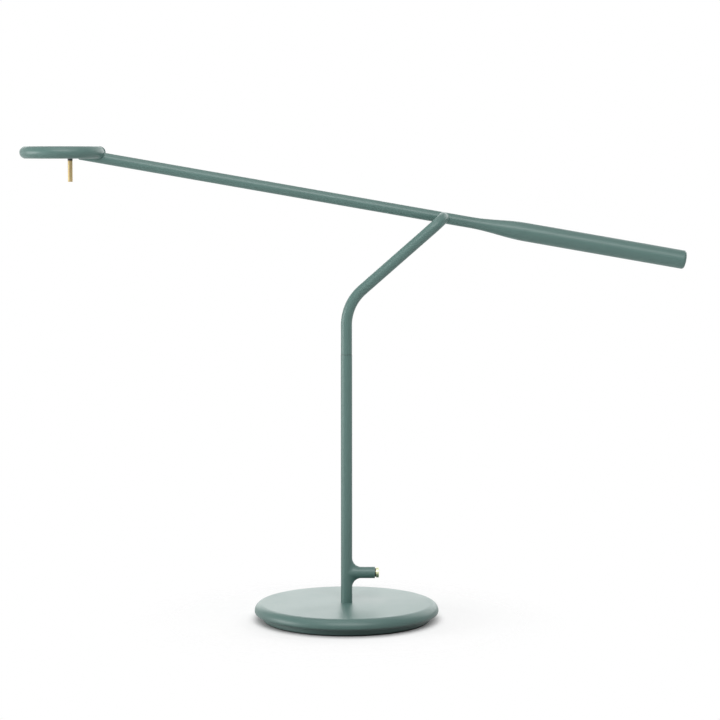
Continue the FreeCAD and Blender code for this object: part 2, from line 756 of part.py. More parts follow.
def head_shell():
    """Round-rimmed disc, hollow from below, with a walled channel where the arm comes in."""
    round_radius = head_thickness / 2
    flat = head_radius - round_radius
    outline = [
        line(V(0, 0, round_radius), V(flat, 0, round_radius)),
        Part.Arc(V(flat, 0, round_radius), V(head_radius, 0, 0), V(flat, 0, -round_radius)).toShape(),
        line(V(flat, 0, -round_radius), V(0, 0, -round_radius)),
        line(V(0, 0, -round_radius), V(0, 0, round_radius)),
    ]
    disc = lathe(outline, ORIGIN, Z).translated(disc_centre)
    mouth = rod(head_mouth, disc_centre + Z * head_bottom, Z, diffuser_top - head_bottom)
    room = rod(head_mouth - head_ledge, disc_centre + Z * diffuser_top, Z, head_ceiling - diffuser_top)
    walls = block((notch_start - channel_end_wall, head_radius),
                  (-notch_width / 2 - channel_wall, notch_width / 2 + channel_wall),
                  (head_bottom, head_ceiling))
    room_half = yoke_half + hinge_fit
    yoke_room = block((-yoke_flange, notch_start), (-room_half, room_half), (head_bottom, head_ceiling))
    hollow = mouth.fuse(room).cut(walls)
    blind = [rod(yoke_screw_radius, place, Z, yoke_plate + yoke_screw_grip) for place in yoke_screw_places()]
    return disc.cut([hollow, arm_notch(), yoke_room.common(mouth.fuse(room))] + blind)


def yoke_screw_places():
    """Places of the two screws on the underside of the yoke's flange."""
    level = head_ceiling - yoke_plate
    return [V(-yoke_screw_setback, side * yoke_screw_spread, level) for side in (-1, 1)]


def head_yoke():
    """Steel yoke on the ceiling of the shell that holds the hinge pin and the grip."""
    body = block((-yoke_back, yoke_reach), (-yoke_half, yoke_half), (diffuser_bottom, head_ceiling))
    flange = block((-yoke_flange, -yoke_back), (-yoke_flange_half_width, yoke_flange_half_width),
                   (head_ceiling - yoke_plate, head_ceiling))
    bridge_top = diffuser_top
    slot = block((-yoke_reach, yoke_reach), (-slot_half, slot_half), (bridge_top, head_ceiling - yoke_plate))
    top_relief = notch_block(slot_half, -yoke_opening, bridge_top, head_ceiling)
    bottom_relief = notch_block(slot_half, collar_radius + collar_land, head_bottom, head_ceiling)
    pin_hole = rod(hinge_pin_radius, V(0, -yoke_half, 0), Y, 2 * yoke_half)
    stud_hole = rod(grip_stud_radius, V(0, 0, diffuser_bottom), Z, bridge_top - diffuser_bottom)
    screw_holes = [rod(yoke_screw_radius, place, Z, yoke_plate) for place in yoke_screw_places()]
    return body.fuse(flange).cut([slot, top_relief, bottom_relief, pin_hole, stud_hole] + screw_holes)


def yoke_screws():
    """Screws that hold the yoke to the ceiling of the shell."""
    screws = []
    for place in yoke_screw_places():
        head = rod(yoke_screw_head_radius, place - Z * yoke_screw_head, Z, yoke_screw_head)
        shank = rod(yoke_screw_radius - press_clearance, place, Z, yoke_plate + yoke_screw_grip)
        screws.append(head.fuse(shank))
    return Part.makeCompound(screws)


def hinge_pin():
    """Pin across the yoke and the tongue."""
    return rod(hinge_pin_radius - press_clearance, V(0, -yoke_half, 0), Y, 2 * yoke_half)


def hinge_washers():
    """Thin washers between the tongue and the yoke's cheeks."""
    washers = []
    for start in (-slot_half, slot_half - hinge_washer):
        washers.append(sleeve(knuckle_radius, hinge_pin_radius, V(0, start, 0), Y, hinge_washer))
    return Part.makeCompound(washers)


def channel_clearance(extra):
    """Space that the light's plates leave around the channel and the yoke."""
    height = (head_bottom, head_ceiling)
    channel_half = notch_width / 2 + channel_wall + extra
    around_yoke = yoke_half + extra
    channel_start = notch_start - channel_end_wall - extra
    channel = block((channel_start, head_radius), (-channel_half, channel_half), height)
    yoke = block((-yoke_back - extra, notch_start), (-around_yoke, around_yoke), height)
    return [channel, yoke]


def diffuser():
    """Opal plate let into the underside, cut away for the arm and the yoke."""
    plate = rod(head_mouth - press_clearance, disc_centre + Z * diffuser_bottom, Z, diffuser_thickness)
    return plate.cut(channel_clearance(press_clearance))


def led_board():
    """Ring-shaped board against the ceiling of the shell."""
    level = head_ceiling - led_board_thickness
    ring = sleeve(head_mouth - head_ledge - weight_clearance, led_board_inner, disc_centre + Z * level, Z,
                  led_board_thickness)
    return ring.cut(channel_clearance(weight_clearance))


def leds():
    """Light-emitting diodes on the board, spread around the arc that the notch leaves."""
    level = head_ceiling - led_board_thickness - led_height
    arc = 360.0 - 2 * led_clear_angle
    chips = []
    for i in range(led_count):
        chip = block((led_circle - led_size / 2, led_circle + led_size / 2), (-led_size / 2, led_size / 2),
                     (level, level + led_height))
        chip.rotate(ORIGIN, Z, led_clear_angle + arc * i / (led_count - 1))
        chips.append(chip.translated(disc_centre))
    return Part.makeCompound(chips)


def grip_collar():
    """Black collar between the yoke and the brass grip."""
    return sleeve(collar_radius, grip_stud_radius, V(0, 0, diffuser_bottom - collar_length), Z, collar_length)


def grip_pin():
    """Brass grip below the head, with a stud through the collar into the yoke."""
    top = diffuser_bottom - collar_length
    grip = chamfered_rod(grip_radius, V(0, 0, top), Z * -1, grip_length, grip_chamfer)
    stud = rod(grip_stud_radius - press_clearance, V(0, 0, top), Z, collar_length + diffuser_thickness)
    return grip.fuse(stud)


# ---- the whole lamp -------------------------------------------------------
standing_parts = {
    "base_disc": base_disc, "base_pan": base_pan, "base_weight": base_weight, "foot_pad": foot_pad,
    "pan_screws": pan_screws, "driver_board": driver_board, "board_screws": board_screws,
    "cord_gland": cord_gland, "stem_washer": stem_washer, "stem_nut": stem_nut,
    "lower_stem": lower_stem, "stem_lead": stem_lead, "button_ring": button_ring,
    "push_switch": push_switch, "button": button, "swivel_bush": swivel_bush,
    "swivel_spindle": swivel_spindle, "swivel_clip": swivel_clip, "spindle_grub": spindle_grub,
    "upper_stem": upper_stem, "elbow_insert": elbow_insert, "pivot_axle": pivot_axle,
    "friction_washers": friction_washers, "cap_nut": cap_nut,
}
arm_parts = {
    "arm_tube": arm_tube, "pivot_block": pivot_block, "pivot_bush": pivot_bush,
    "counterweight": counterweight, "weight_retainer": weight_retainer, "end_cap": end_cap,
    "arm_tongue": arm_tongue, "arm_lead": arm_lead,
}
head_parts = {
    "head_shell": head_shell, "head_yoke": head_yoke, "yoke_screws": yoke_screws,
    "hinge_pin": hinge_pin, "hinge_washers": hinge_washers, "diffuser": diffuser,
    "led_board": led_board, "leds": leds, "grip_collar": grip_collar, "grip_pin": grip_pin,
}


def write_parts(makers, placement):
    """Builds each part, sets it in its place and writes it."""
    for name, make in makers.items():
        shape = make()
        shape.Placement = placement.multiply(shape.Placement)
        shape.exportStep("parts/" + name + ".step")
        print(name, "volume", round(shape.Volume), "solids", len(shape.Solids), "valid", shape.isValid())


os.makedirs("parts", exist_ok=True)
write_parts(standing_parts, FreeCAD.Placement())
write_parts(arm_parts, arm_placement)
write_parts(head_parts, head_placement)
print("pivot", pivot, "hinge", hinge)
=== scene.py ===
import json
import math

import bmesh
import bpy
from mathutils import Matrix, Vector

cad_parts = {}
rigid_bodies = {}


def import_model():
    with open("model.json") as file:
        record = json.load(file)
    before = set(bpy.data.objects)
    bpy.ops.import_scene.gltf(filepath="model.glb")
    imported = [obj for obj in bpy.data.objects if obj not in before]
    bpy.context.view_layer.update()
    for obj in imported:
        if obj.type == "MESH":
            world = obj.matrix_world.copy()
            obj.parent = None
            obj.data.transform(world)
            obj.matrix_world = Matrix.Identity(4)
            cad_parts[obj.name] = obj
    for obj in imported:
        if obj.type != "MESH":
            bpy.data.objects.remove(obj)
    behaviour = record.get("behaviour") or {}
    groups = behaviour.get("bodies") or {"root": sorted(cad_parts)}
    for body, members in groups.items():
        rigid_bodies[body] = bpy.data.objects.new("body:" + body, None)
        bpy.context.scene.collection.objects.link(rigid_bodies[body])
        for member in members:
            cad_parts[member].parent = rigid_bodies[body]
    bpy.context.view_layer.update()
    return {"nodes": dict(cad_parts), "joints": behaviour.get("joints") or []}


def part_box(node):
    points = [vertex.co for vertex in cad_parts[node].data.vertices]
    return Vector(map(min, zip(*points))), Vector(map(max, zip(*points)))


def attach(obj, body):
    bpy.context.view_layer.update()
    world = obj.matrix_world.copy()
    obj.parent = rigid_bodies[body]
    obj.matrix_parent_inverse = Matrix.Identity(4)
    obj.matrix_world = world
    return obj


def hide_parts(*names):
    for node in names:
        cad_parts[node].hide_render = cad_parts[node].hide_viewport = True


for leftover in list(bpy.data.objects):
    bpy.data.objects.remove(leftover)
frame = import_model()

mm = 0.001
origin = Vector((0, 0, 0))
axisX, axisY, axisZ = Vector((1, 0, 0)), Vector((0, 1, 0)), Vector((0, 0, 1))
sharpAngle = math.radians(32)                 # edges that turn more than this stay crisp


def jointPlace(name):
    joint = next(j for j in frame["joints"] if j["name"] == name)
    return Vector(joint["pos_m"])


seam = jointPlace("stem_swivel")
pivot = jointPlace("arm_tilt")
hinge = jointPlace("head_tilt")
armAxis = (pivot - hinge).normalized()        # from the head towards the handle


def nodeSpan(name, axis):
    # lowest and highest place of a node along an axis that passes through the pivot
    along = [(v.co - pivot).dot(axis) for v in frame["nodes"][name].data.vertices]
    return min(along), max(along)


# small helpers for node trees

def addNode(tree, kind, values=None, **settings):
    node = tree.nodes.new(kind)
    for key, value in settings.items():
        setattr(node, key, value)
    for key, value in (values or {}).items():
        node.inputs[key].default_value = value
    return node


def newGroup(name, treeKind, inputs, outputs):
    tree = bpy.data.node_groups.new(name, treeKind)
    for label, kind, value in inputs:
        socket = tree.interface.new_socket(label, in_out="INPUT", socket_type=kind)
        if value is not None:
            socket.default_value = value
    for label, kind in outputs:
        tree.interface.new_socket(label, in_out="OUTPUT", socket_type=kind)
    return tree, tree.nodes.new("NodeGroupInput"), tree.nodes.new("NodeGroupOutput")


def maths(tree, operation, a, b=None):
    node = tree.nodes.new("ShaderNodeMath")
    node.operation = operation
    for index, value in enumerate((a, b)):
        if value is None:
            continue
        if isinstance(value, (int, float)):
            node.inputs[index].default_value = value
        else:
            tree.links.new(value, node.inputs[index])
    return node.outputs[0]


def spread(tree, value, low, high, toLow=0.0, toHigh=1.0):
    node = addNode(tree, "ShaderNodeMapRange", {1: low, 2: high, 3: toLow, 4: toHigh})
    tree.links.new(value, node.inputs[0])
    return node.outputs[0]


# effects that several finishes share

noiseSwing = {"low": 0.25, "high": 0.75}      # most of a noise lies between these


def placeNoise(tree, start, scale, detail, roughness):
    noise = addNode(tree, "ShaderNodeTexNoise", {"Detail": detail, "Roughness": roughness})
    tree.links.new(start.outputs["Vector"], noise.inputs["Vector"])
    tree.links.new(start.outputs[scale], noise.inputs["Scale"])
    return noise.outputs[0]


def unevenness(tree, noise, amount):
    # the noise as a swing to both sides of zero
    swing = spread(tree, noise, noiseSwing["low"], noiseSwing["high"], -1, 1)
    return maths(tree, "MULTIPLY", swing, amount)


def endMarks(tree, start, end, height, glossNoise):
    # puts out the marks' height and the roughness that varies with them
    unevenGloss = unevenness(tree, glossNoise, start.outputs["Gloss Spread"])
    tree.links.new(height, end.inputs["Height"])
    tree.links.new(maths(tree, "ADD", start.outputs["Roughness"], unevenGloss), end.inputs["Roughness"])


def makeToneDrift():
    # slow, faint drift of a colour's lightness over a surface
    tree, start, end = newGroup("toneDrift", "ShaderNodeTree", [
        ("Vector", "NodeSocketVector", None),
        ("Color", "NodeSocketColor", (0.5, 0.5, 0.5, 1)),
        ("Scale", "NodeSocketFloat", 14.0),
        ("Drift", "NodeSocketFloat", 0.05),
        ("Speckle", "NodeSocketFloat", 0.02),
        ("Speckle Scale", "NodeSocketFloat", 900.0),
    ], [("Color", "NodeSocketColor")])
    slow = placeNoise(tree, start, "Scale", detail=4.0, roughness=0.55)
    fine = placeNoise(tree, start, "Speckle Scale", detail=1.0, roughness=0.5)
    slowPart = unevenness(tree, slow, start.outputs["Drift"])
    finePart = unevenness(tree, fine, start.outputs["Speckle"])
    lightness = maths(tree, "ADD", maths(tree, "ADD", slowPart, finePart), 1.0)
    tone = addNode(tree, "ShaderNodeHueSaturation")
    tree.links.new(start.outputs["Color"], tone.inputs["Color"])
    tree.links.new(lightness, tone.inputs["Value"])
    tree.links.new(tone.outputs[0], end.inputs[0])
    return tree


def makeCoatGrain():
    # the faint orange peel of a sprayed or moulded skin, with uneven gloss
    tree, start, end = newGroup("coatGrain", "ShaderNodeTree", [
        ("Vector", "NodeSocketVector", None),
        ("Grain Scale", "NodeSocketFloat", 700.0),
        ("Gloss Scale", "NodeSocketFloat", 22.0),
        ("Roughness", "NodeSocketFloat", 0.4),
        ("Gloss Spread", "NodeSocketFloat", 0.04),
    ], [("Height", "NodeSocketFloat"), ("Roughness", "NodeSocketFloat")])
    grain = placeNoise(tree, start, "Grain Scale", detail=2.0, roughness=0.45)
    gloss = placeNoise(tree, start, "Gloss Scale", detail=3.0, roughness=0.6)
    endMarks(tree, start, end, grain, gloss)
    return tree


# an edge shows where the rounded normal leaves the true one; noise between the patch limits breaks it up
wearMask = {"flat": 0.98, "sharp": 0.80, "patchLow": 0.40, "patchHigh": 0.62, "samples": 6}


def makeEdgeWear():
    # mask of edges and corners, broken up by noise
    tree, start, end = newGroup("edgeWear", "ShaderNodeTree", [
        ("Vector", "NodeSocketVector", None),
        ("Edge Width", "NodeSocketFloat", 0.0006),
        ("Break Up Scale", "NodeSocketFloat", 160.0),
        ("Wear", "NodeSocketFloat", 0.5),
    ], [("Mask", "NodeSocketFloat")])
    rounded = addNode(tree, "ShaderNodeBevel", samples=wearMask["samples"])
    tree.links.new(start.outputs["Edge Width"], rounded.inputs["Radius"])
    surface = tree.nodes.new("ShaderNodeNewGeometry")
    turn = addNode(tree, "ShaderNodeVectorMath", operation="DOT_PRODUCT")
    tree.links.new(rounded.outputs[0], turn.inputs[0])
    tree.links.new(surface.outputs["Normal"], turn.inputs[1])
    edge = spread(tree, turn.outputs["Value"], wearMask["flat"], wearMask["sharp"])
    breakUp = placeNoise(tree, start, "Break Up Scale", detail=3.0, roughness=0.6)
    patches = spread(tree, breakUp, wearMask["patchLow"], wearMask["patchHigh"])
    worn = maths(tree, "MULTIPLY", edge, patches)
    tree.links.new(maths(tree, "MULTIPLY", worn, start.outputs["Wear"]), end.inputs[0])
    return tree


def makeTurningMarks():
    # fine rings left by a lathe, square to an axis
    tree, start, end = newGroup("turningMarks", "ShaderNodeTree", [
        ("Vector", "NodeSocketVector", None),
        ("Axis", "NodeSocketVector", (0, 0, 1)),
        ("Ring Scale", "NodeSocketFloat", 4200.0),
        ("Roughness", "NodeSocketFloat", 0.35),
        ("Gloss Spread", "NodeSocketFloat", 0.08),
    ], [("Height", "NodeSocketFloat"), ("Roughness", "NodeSocketFloat")])
    along = addNode(tree, "ShaderNodeVectorMath", operation="DOT_PRODUCT")
    tree.links.new(start.outputs["Vector"], along.inputs[0])
    tree.links.new(start.outputs["Axis"], along.inputs[1])
    rings = addNode(tree, "ShaderNodeTexNoise", {"Detail": 3.0, "Roughness": 0.7},
                    noise_dimensions="1D")
    tree.links.new(along.outputs["Value"], rings.inputs["W"])
    tree.links.new(start.outputs["Ring Scale"], rings.inputs["Scale"])
    endMarks(tree, start, end, rings.outputs[0], rings.outputs[0])
    return tree


toneDrift = makeToneDrift()
coatGrain = makeCoatGrain()
edgeWear = makeEdgeWear()
turningMarks = makeTurningMarks()
print("shared effects ready")


# finishes

def newFinish(name):
    finish = bpy.data.materials.new(name)
    finish.use_nodes = True
    tree = finish.node_tree
    tree.nodes.clear()
    shader = tree.nodes.new("ShaderNodeBsdfPrincipled")
    output = tree.nodes.new("ShaderNodeOutputMaterial")
    tree.links.new(shader.outputs[0], output.inputs["Surface"])
    places = tree.nodes.new("ShaderNodeTexCoord").outputs["Object"]
    return finish, tree, shader, places


def placeEffect(tree, effect, places, values):
    node = addNode(tree, "ShaderNodeGroup", values, node_tree=effect)
    tree.links.new(places, node.inputs["Vector"])
    return node


def addBump(tree, shader, height, depth):
    bump = addNode(tree, "ShaderNodeBump", {"Distance": depth, "Strength": 1.0})
    tree.links.new(height, bump.inputs["Height"])
    tree.links.new(bump.outputs[0], shader.inputs["Normal"])


def mixColours(tree, amount, first, second):
    mix = addNode(tree, "ShaderNodeMix", data_type="RGBA")
    tree.links.new(amount, mix.inputs["Factor"])
    for socket, colour in (("A", first), ("B", second)):
        if isinstance(colour, tuple):
            mix.inputs[socket].default_value = colour
        else:
            tree.links.new(colour, mix.inputs[socket])
    return mix.outputs["Result"]


def driftingTone(tree, places, look, speckleScale=900.0):
    tone = placeEffect(tree, toneDrift, places, {
        "Color": look["colour"], "Scale": look["driftScale"], "Drift": look["drift"],
        "Speckle": look["speckle"], "Speckle Scale": speckleScale})
    return tone.outputs["Color"]


def wornTone(tree, places, tone, look):
    wear = placeEffect(tree, edgeWear, places, {"Edge Width": look["edgeWidth"], "Wear": look["wear"]})
    return mixColours(tree, wear.outputs["Mask"], tone, look["wornColour"])


def dress(tree, shader, colour, marks, depth):
    # colour, uneven roughness and the marks' bump
    tree.links.new(colour, shader.inputs["Base Color"])
    tree.links.new(marks.outputs["Roughness"], shader.inputs["Roughness"])
    addBump(tree, shader, marks.outputs["Height"], depth)


def coatedFinish(name, look):
    # sprayed paint or moulded plastic: drift of tone, grain and slightly rubbed edges
    finish, tree, shader, places = newFinish(name)
    tone = driftingTone(tree, places, look, look["grainScale"])
    grain = placeEffect(tree, coatGrain, places, {
        "Grain Scale": look["grainScale"], "Gloss Scale": look["driftScale"],
        "Roughness": look["roughness"], "Gloss Spread": look["glossSpread"]})
    dress(tree, shader, wornTone(tree, places, tone, look), grain, look["grainDepth"])
    shader.inputs["IOR"].default_value = look["ior"]
    return finish


def metalFinish(name, look):
    # turned or plated metal: rings square to an axis, drift of tone and polished edges
    finish, tree, shader, places = newFinish(name)
    tone = driftingTone(tree, places, look)
    marks = placeEffect(tree, turningMarks, places, {
        "Axis": look["axis"], "Ring Scale": look["ringScale"],
        "Roughness": look["roughness"], "Gloss Spread": look["glossSpread"]})
    dress(tree, shader, wornTone(tree, places, tone, look), marks, look["ringDepth"])
    shader.inputs["Metallic"].default_value = 1.0
    return finish


# colours are linear; scales are patterns per metre, depths and widths in millimetres
sageLook = {
    "colour": (0.091, 0.172, 0.155, 1), "wornColour": (0.15, 0.24, 0.22, 1),
    "roughness": 0.41, "glossSpread": 0.03, "driftScale": 16.0, "drift": 0.035, "speckle": 0.02,
    "grainScale": 800.0, "grainDepth": 0.007 * mm, "edgeWidth": 0.5 * mm, "wear": 0.25, "ior": 1.5,
}
blackPlasticLook = {
    "colour": (0.012, 0.013, 0.013, 1), "wornColour": (0.05, 0.05, 0.05, 1),
    "roughness": 0.45, "glossSpread": 0.05, "driftScale": 60.0, "drift": 0.1, "speckle": 0.1,
    "grainScale": 2500.0, "grainDepth": 0.02 * mm, "edgeWidth": 0.2 * mm, "wear": 0.3, "ior": 1.5,
}
rubberLook = {
    "colour": (0.017, 0.018, 0.018, 1), "wornColour": (0.045, 0.045, 0.045, 1),
    "roughness": 0.68, "glossSpread": 0.06, "driftScale": 30.0, "drift": 0.15, "speckle": 0.15,
    "grainScale": 1800.0, "grainDepth": 0.06 * mm, "edgeWidth": 0.3 * mm, "wear": 0.4, "ior": 1.45,
}
yokeLook = {
    "colour": (0.018, 0.018, 0.019, 1), "wornColour": (0.10, 0.10, 0.10, 1),
    "roughness": 0.38, "glossSpread": 0.05, "driftScale": 80.0, "drift": 0.12, "speckle": 0.06,
    "grainScale": 1600.0, "grainDepth": 0.02 * mm, "edgeWidth": 0.3 * mm, "wear": 0.6, "ior": 1.5,
}
nylonLook = {
    "colour": (0.62, 0.60, 0.54, 1), "wornColour": (0.75, 0.73, 0.68, 1),
    "roughness": 0.42, "glossSpread": 0.04, "driftScale": 90.0, "drift": 0.04, "speckle": 0.03,
    "grainScale": 1500.0, "grainDepth": 0.02 * mm, "edgeWidth": 0.2 * mm, "wear": 0.3, "ior": 1.53,
}
boardWhiteLook = {
    "colour": (0.78, 0.79, 0.77, 1), "wornColour": (0.55, 0.52, 0.42, 1),
    "roughness": 0.35, "glossSpread": 0.03, "driftScale": 50.0, "drift": 0.03, "speckle": 0.02,
    "grainScale": 900.0, "grainDepth": 0.01 * mm, "edgeWidth": 0.3 * mm, "wear": 0.5, "ior": 1.5,
}
boardGreenLook = {
    "colour": (0.018, 0.085, 0.038, 1), "wornColour": (0.30, 0.27, 0.14, 1),
    "roughness": 0.3, "glossSpread": 0.04, "driftScale": 120.0, "drift": 0.18, "speckle": 0.12,
    "grainScale": 700.0, "grainDepth": 0.03 * mm, "edgeWidth": 0.3 * mm, "wear": 0.7, "ior": 1.5,
}
diodeLook = {
    "colour": (0.80, 0.66, 0.24, 1), "wornColour": (0.88, 0.86, 0.80, 1),
    "roughness": 0.3, "glossSpread": 0.02, "driftScale": 300.0, "drift": 0.06, "speckle": 0.04,
    "grainScale": 3000.0, "grainDepth": 0.01 * mm, "edgeWidth": 0.5 * mm, "wear": 1.0, "ior": 1.5,
}
brassLook = {
    "colour": (0.43, 0.34, 0.18, 1), "wornColour": (0.50, 0.41, 0.25, 1), "axis": (0, 0, 1),
    "roughness": 0.56, "glossSpread": 0.07, "driftScale": 90.0, "drift": 0.05, "speckle": 0.03,
    "ringScale": 4200.0, "ringDepth": 0.002 * mm, "edgeWidth": 0.3 * mm, "wear": 0.6,
}
buttonBrassLook = dict(brassLook, colour=(0.56, 0.57, 0.36, 1), axis=(1, 0, 0), roughness=0.36)
steelLook = {
    "colour": (0.60, 0.60, 0.58, 1), "wornColour": (0.78, 0.78, 0.77, 1), "axis": (0, 0, 1),
    "roughness": 0.3, "glossSpread": 0.08, "driftScale": 120.0, "drift": 0.07, "speckle": 0.05,
    "ringScale": 3200.0, "ringDepth": 0.008 * mm, "edgeWidth": 0.3 * mm, "wear": 0.5,
}
ballastLook = {
    "colour": (0.24, 0.235, 0.225, 1), "wornColour": (0.42, 0.41, 0.39, 1), "axis": tuple(armAxis),
    "roughness": 0.52, "glossSpread": 0.1, "driftScale": 26.0, "drift": 0.2, "speckle": 0.12,
    "ringScale": 1300.0, "ringDepth": 0.02 * mm, "edgeWidth": 0.6 * mm, "wear": 0.5,
}
opalLook = {
    "colour": (0.86, 0.86, 0.84, 1), "scatter": 0.6, "scatterDepth": 2 * mm,
    "roughness": 0.34, "glossSpread": 0.02, "driftScale": 35.0, "drift": 0.012, "speckle": 0.006,
    "grainScale": 1300.0, "grainDepth": 0.01 * mm,
}


def opalFinish(name, look):
    # milky plastic that lets light a little way in
    finish, tree, shader, places = newFinish(name)
    tone = driftingTone(tree, places, look)
    grain = placeEffect(tree, coatGrain, places, {
        "Grain Scale": look["grainScale"], "Roughness": look["roughness"],
        "Gloss Spread": look["glossSpread"]})
    dress(tree, shader, tone, grain, look["grainDepth"])
    shader.inputs["Subsurface Weight"].default_value = look["scatter"]
    shader.inputs["Subsurface Scale"].default_value = look["scatterDepth"]
    return finish


finishes = {
    "sage_steel": coatedFinish("sageSatin", sageLook),
    "brass": metalFinish("turnedBrass", brassLook),
    "bright_steel": metalFinish("brightSteel", steelLook),
    "black_yoke": coatedFinish("blackenedSteel", yokeLook),
    "ballast": metalFinish("rawBallast", ballastLook),
    "black_plastic": coatedFinish("blackPlastic", blackPlasticLook),
    "pale_nylon": coatedFinish("paleNylon", nylonLook),
    "black_rubber": coatedFinish("footRubber", rubberLook),
    "opal": opalFinish("opal", opalLook),
    "circuit": coatedFinish("greenBoard", boardGreenLook),
    "board_metal": coatedFinish("whiteBoard", boardWhiteLook),
    "diode": coatedFinish("phosphor", diodeLook),
    "button_brass": metalFinish("buttonBrass", buttonBrassLook),
}
finishes["sage_aluminium"] = finishes["sage_steel"]      # one paint on both metals
for node in frame["nodes"].values():
    for slot in node.material_slots:
        slot.material = finishes[slot.material.name]
print("finishes ready:", len(finishes))


# outlines for turned pieces

def roundedOutline(corners, closed=False, arcStep=9.0):
    # corners are (radius, height, rounding); each rounding becomes an arc of steps of about arcStep degrees
    points = []
    count = len(corners)
    for index, (radius, height, rounding) in enumerate(corners):
        corner = Vector((radius, height))
        if rounding <= 0 or (not closed and index in (0, count - 1)):
            points.append(corner)
            continue
        before = Vector(corners[index - 1][:2]) - corner
        after = Vector(corners[(index + 1) % count][:2]) - corner
        before.normalize()
        after.normalize()
        opening = before.angle(after)
        reach = rounding / math.tan(opening / 2)
        middle = (before + after).normalized()
        centre = corner + middle * (rounding / math.sin(opening / 2))
        first = corner + before * reach - centre
        last = corner + after * reach - centre
        sweep = first.angle_signed(last)
        steps = max(3, round(math.degrees(abs(sweep)) / arcStep))
        for i in range(steps + 1):
            points.append(centre + Matrix.Rotation(-sweep * i / steps, 2) @ first)
    if closed:
        points.append(points[0].copy())
    return points


def softTaper(startRadius, startAlong, endRadius, endAlong, ease, steps):
    # S-shaped run between two radii, level at both ends
    points = []
    span = endAlong - startAlong
    for i in range(steps + 1):
        t = i / steps
        lead, lag = 3 * (1 - t) ** 2 * t, 3 * (1 - t) * t ** 2
        along = startAlong + span * (lead * ease + lag * (1 - ease) + t ** 3)
        points.append(Vector((startRadius + (endRadius - startRadius) * (lag + t ** 3), along)))
    return points


def domeOutline(radius, rise, top, steps):
    # low dome from its rim up to the axis
    domeRadius = (radius ** 2 + rise ** 2) / (2 * rise)
    half = math.asin(radius / domeRadius)
    angles = [half * (1 - i / steps) for i in range(steps + 1)]
    return [Vector((domeRadius * math.sin(a), top - domeRadius * (1 - math.cos(a)))) for a in angles]


# trees that make the main forms

def endTree(tree, geometry, start, end):
    real = tree.nodes.new("GeometryNodeRealizeInstances")
    painted = tree.nodes.new("GeometryNodeSetMaterial")
    tree.links.new(geometry, real.inputs[0])
    tree.links.new(real.outputs[0], painted.inputs["Geometry"])
    tree.links.new(start.outputs["Finish"], painted.inputs["Material"])
    tree.links.new(painted.outputs[0], end.inputs[0])


def makeTurnedTree():
    # sweeps an outline of points (x radius, z height) about the Z axis
    tree, start, end = newGroup("turnedForm", "GeometryNodeTree", [
        ("Geometry", "NodeSocketGeometry", None),
        ("Facets", "NodeSocketInt", 96),
        ("Merge Distance", "NodeSocketFloat", 1e-7),
        ("Finish", "NodeSocketMaterial", None),
    ], [("Geometry", "NodeSocketGeometry")])
    tree.is_modifier = True
    size = addNode(tree, "GeometryNodeAttributeDomainSize", component="MESH")
    tree.links.new(start.outputs["Geometry"], size.inputs[0])
    pointCount = size.outputs["Point Count"]
    grid = tree.nodes.new("GeometryNodeMeshGrid")
    tree.links.new(maths(tree, "ADD", start.outputs["Facets"], 1), grid.inputs["Vertices X"])
    tree.links.new(pointCount, grid.inputs["Vertices Y"])
    index = tree.nodes.new("GeometryNodeInputIndex").outputs[0]
    place = maths(tree, "FLOORED_MODULO", index, pointCount)
    turn = maths(tree, "FLOOR", maths(tree, "DIVIDE", index, pointCount))
    angle = maths(tree, "MULTIPLY", maths(tree, "DIVIDE", turn, start.outputs["Facets"]), math.tau)
    position = tree.nodes.new("GeometryNodeInputPosition").outputs[0]
    sample = addNode(tree, "GeometryNodeSampleIndex", data_type="FLOAT_VECTOR", domain="POINT")
    tree.links.new(start.outputs["Geometry"], sample.inputs["Geometry"])
    tree.links.new(position, sample.inputs["Value"])
    tree.links.new(place, sample.inputs["Index"])
    parts = tree.nodes.new("ShaderNodeSeparateXYZ")
    tree.links.new(sample.outputs[0], parts.inputs[0])
    joined = tree.nodes.new("ShaderNodeCombineXYZ")
    for side, wave in (("X", "COSINE"), ("Y", "SINE")):
        reach = maths(tree, "MULTIPLY", parts.outputs["X"], maths(tree, wave, angle))
        tree.links.new(reach, joined.inputs[side])
    tree.links.new(parts.outputs["Z"], joined.inputs["Z"])
    moved = tree.nodes.new("GeometryNodeSetPosition")
    tree.links.new(grid.outputs["Mesh"], moved.inputs["Geometry"])
    tree.links.new(joined.outputs[0], moved.inputs["Position"])
    merged = tree.nodes.new("GeometryNodeMergeByDistance")
    tree.links.new(moved.outputs[0], merged.inputs["Geometry"])
    tree.links.new(start.outputs["Merge Distance"], merged.inputs["Distance"])
    endTree(tree, merged.outputs[0], start, end)
    return tree


